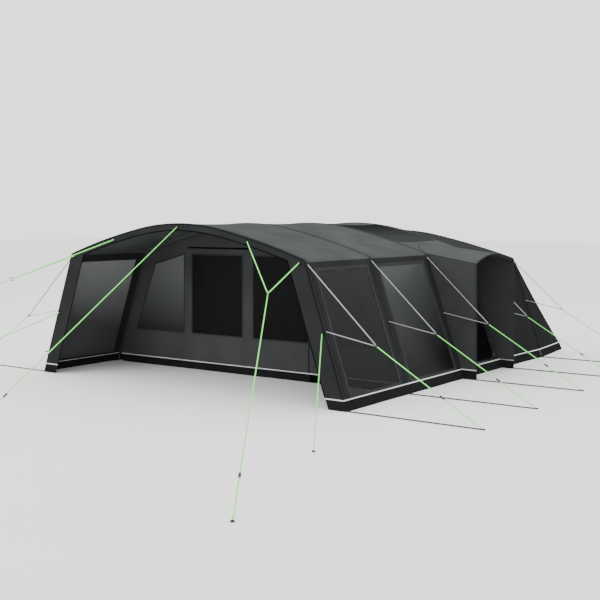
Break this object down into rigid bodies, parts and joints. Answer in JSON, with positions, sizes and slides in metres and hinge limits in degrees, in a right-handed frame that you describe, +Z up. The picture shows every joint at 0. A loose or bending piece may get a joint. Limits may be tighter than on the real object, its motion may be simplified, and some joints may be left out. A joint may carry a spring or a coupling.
{
  "type": "tent on poles",
  "caption": "Long arched tunnel tent on hooped poles in sleeves, with open front canopy, windows, side porches and guy lines.",
  "frame": {"origin": "on the ground, in the middle of the tent's own box", "axes": "+X to the right of someone looking in at the open front, +Y to the tent's back, +Z up"},
  "size_m": [8.632, 10.788, 2.1498],
  "materials": {
    "roof_fabric": "coated polyester, light charcoal",
    "wall_fabric": "coated polyester, dark charcoal",
    "rear_fabric": "blackout polyester",
    "sleeve_fabric": "coated polyester",
    "mud_flap_sheet": "PVC-coated strip",
    "ground_sheet": "woven polyethylene",
    "patch_fabric": "heavy reinforcement cloth",
    "mesh": "fine mesh",
    "window_film": "tinted clear film",
    "roof_film": "tinted clear film",
    "pole_steel": "powder-coated tube",
    "elbow_steel": "powder-coated tube",
    "black_plastic": "moulded",
    "zip_metal": "plated",
    "guy_cord": "braided, bright green",
    "grey_webbing": "woven webbing",
    "black_webbing": "woven webbing"
  },
  "bodies": {
    "tent": {"bridle_rings": "black_plastic", "canopy_bay": "roof_fabric", "elbows": "elbow_steel", "front_band": "wall_fabric", "front_bridles": "guy_cord", "front_lines": "guy_cord", "front_wall": "wall_fabric", "front_windows": "window_film", "ground_straps_left": "black_webbing", "ground_straps_right": "black_webbing", "groundsheet": "ground_sheet", "guy_patches": "patch_fabric", "leg_poles_left": "pole_steel", "leg_poles_right": "pole_steel", "living_bay": "roof_fabric", "mud_flap": "mud_flap_sheet", "peg_eyelets": "black_plastic", "pole_feet": "black_plastic", "porch_bay": "roof_fabric", "porches": "wall_fabric", "rear_bay": "rear_fabric", "rear_end": "rear_fabric", "roof_pole_1": "pole_steel", "roof_pole_2": "pole_steel", "roof_pole_3": "pole_steel", "roof_pole_4": "pole_steel", "roof_pole_5": "pole_steel", "roof_windows": "roof_film", "side_bridles_left": "grey_webbing", "side_bridles_right": "grey_webbing", "side_lines_left": "guy_cord", "side_lines_right": "guy_cord", "side_windows": "window_film", "sleeve_1": "sleeve_fabric", "sleeve_2": "sleeve_fabric", "sleeve_3": "sleeve_fabric", "sleeve_4": "sleeve_fabric", "sleeve_5": "sleeve_fabric"},
    "front_door": {"front_door": "wall_fabric", "front_door_window": "window_film"},
    "front_door_slider": {"front_door_slider": "zip_metal"},
    "side_door_right": {"side_door_right": "wall_fabric", "side_door_vent_right": "mesh"},
    "side_door_slider_right": {"side_door_slider_right": "zip_metal"},
    "side_door_left": {"side_door_left": "wall_fabric", "side_door_vent_left": "mesh"},
    "side_door_slider_left": {"side_door_slider_left": "zip_metal"},
    "runner_right_1": {"runner_right_1": "black_plastic"},
    "runner_right_2": {"runner_right_2": "black_plastic"},
    "runner_right_3": {"runner_right_3": "black_plastic"},
    "runner_right_4": {"runner_right_4": "black_plastic"},
    "runner_right_5": {"runner_right_5": "black_plastic"},
    "runner_left_1": {"runner_left_1": "black_plastic"},
    "runner_left_2": {"runner_left_2": "black_plastic"},
    "runner_left_3": {"runner_left_3": "black_plastic"},
    "runner_left_4": {"runner_left_4": "black_plastic"},
    "runner_left_5": {"runner_left_5": "black_plastic"},
    "runner_front_right": {"runner_front_right": "black_plastic"},
    "runner_front_left": {"runner_front_left": "black_plastic"},
    "runner_front_centre": {"runner_front_centre": "black_plastic"}
  },
  "joints": [
    {"name": "front_door_hinge", "type": "hinge", "parent": "tent", "child": "front_door", "pos_m": [1.066, -1.9572, 0.9], "axis": [0, 0, 1], "range_deg": [-165, 0]},
    {"name": "front_door_zip", "type": "slide", "parent": "front_door", "child": "front_door_slider", "axis": [-0.3238, 0, 0.9461], "range_m": [0, 1.4]},
    {"name": "side_door_right_hinge", "type": "hinge", "parent": "tent", "child": "side_door_right", "pos_m": [2.56109, -0.2502, 0.14], "axis": [-0.3238, 0, 0.9461], "range_deg": [-85, 0]},
    {"name": "side_door_right_zip", "type": "slide", "parent": "side_door_right", "child": "side_door_slider_right", "axis": [-0.3238, 0, 0.9461], "range_m": [0, 1.1]},
    {"name": "side_door_left_hinge", "type": "hinge", "parent": "tent", "child": "side_door_left", "pos_m": [-2.56109, -0.2502, 0.14], "axis": [0.3238, 0, 0.9461], "range_deg": [0, 85]},
    {"name": "side_door_left_zip", "type": "slide", "parent": "side_door_left", "child": "side_door_slider_left", "axis": [0.3238, 0, 0.9461], "range_m": [0, 1.1]},
    {"name": "runner_right_1_slide", "type": "slide", "parent": "tent", "child": "runner_right_1", "axis": [-0.8597, 0, 0.5109], "range_m": [-0.38, 0.75]},
    {"name": "runner_right_2_slide", "type": "slide", "parent": "tent", "child": "runner_right_2", "axis": [-0.8597, 0, 0.5109], "range_m": [-0.38, 0.75]},
    {"name": "runner_right_3_slide", "type": "slide", "parent": "tent", "child": "runner_right_3", "axis": [-0.8597, 0, 0.5109], "range_m": [-0.38, 0.75]},
    {"name": "runner_right_4_slide", "type": "slide", "parent": "tent", "child": "runner_right_4", "axis": [-0.8597, 0, 0.5109], "range_m": [-0.38, 0.75]},
    {"name": "runner_right_5_slide", "type": "slide", "parent": "tent", "child": "runner_right_5", "axis": [-0.8597, 0, 0.5109], "range_m": [-0.38, 0.75]},
    {"name": "runner_left_1_slide", "type": "slide", "parent": "tent", "child": "runner_left_1", "axis": [0.8597, 0, 0.5109], "range_m": [-0.38, 0.75]},
    {"name": "runner_left_2_slide", "type": "slide", "parent": "tent", "child": "runner_left_2", "axis": [0.8597, 0, 0.5109], "range_m": [-0.38, 0.75]},
    {"name": "runner_left_3_slide", "type": "slide", "parent": "tent", "child": "runner_left_3", "axis": [0.8597, 0, 0.5109], "range_m": [-0.38, 0.75]},
    {"name": "runner_left_4_slide", "type": "slide", "parent": "tent", "child": "runner_left_4", "axis": [0.8597, 0, 0.5109], "range_m": [-0.38, 0.75]},
    {"name": "runner_left_5_slide", "type": "slide", "parent": "tent", "child": "runner_left_5", "axis": [0.8597, 0, 0.5109], "range_m": [-0.38, 0.75]},
    {"name": "runner_front_right_slide", "type": "slide", "parent": "tent", "child": "runner_front_right", "axis": [-0.516, 0.7786, 0.3572], "range_m": [-0.38, 1.2]},
    {"name": "runner_front_left_slide", "type": "slide", "parent": "tent", "child": "runner_front_left", "axis": [0.516, 0.7786, 0.3572], "range_m": [-0.38, 1.2]},
    {"name": "runner_front_centre_slide", "type": "slide", "parent": "tent", "child": "runner_front_centre", "axis": [0, 0.8328, 0.5535], "range_m": [-0.38, 1.2]}
  ]
}
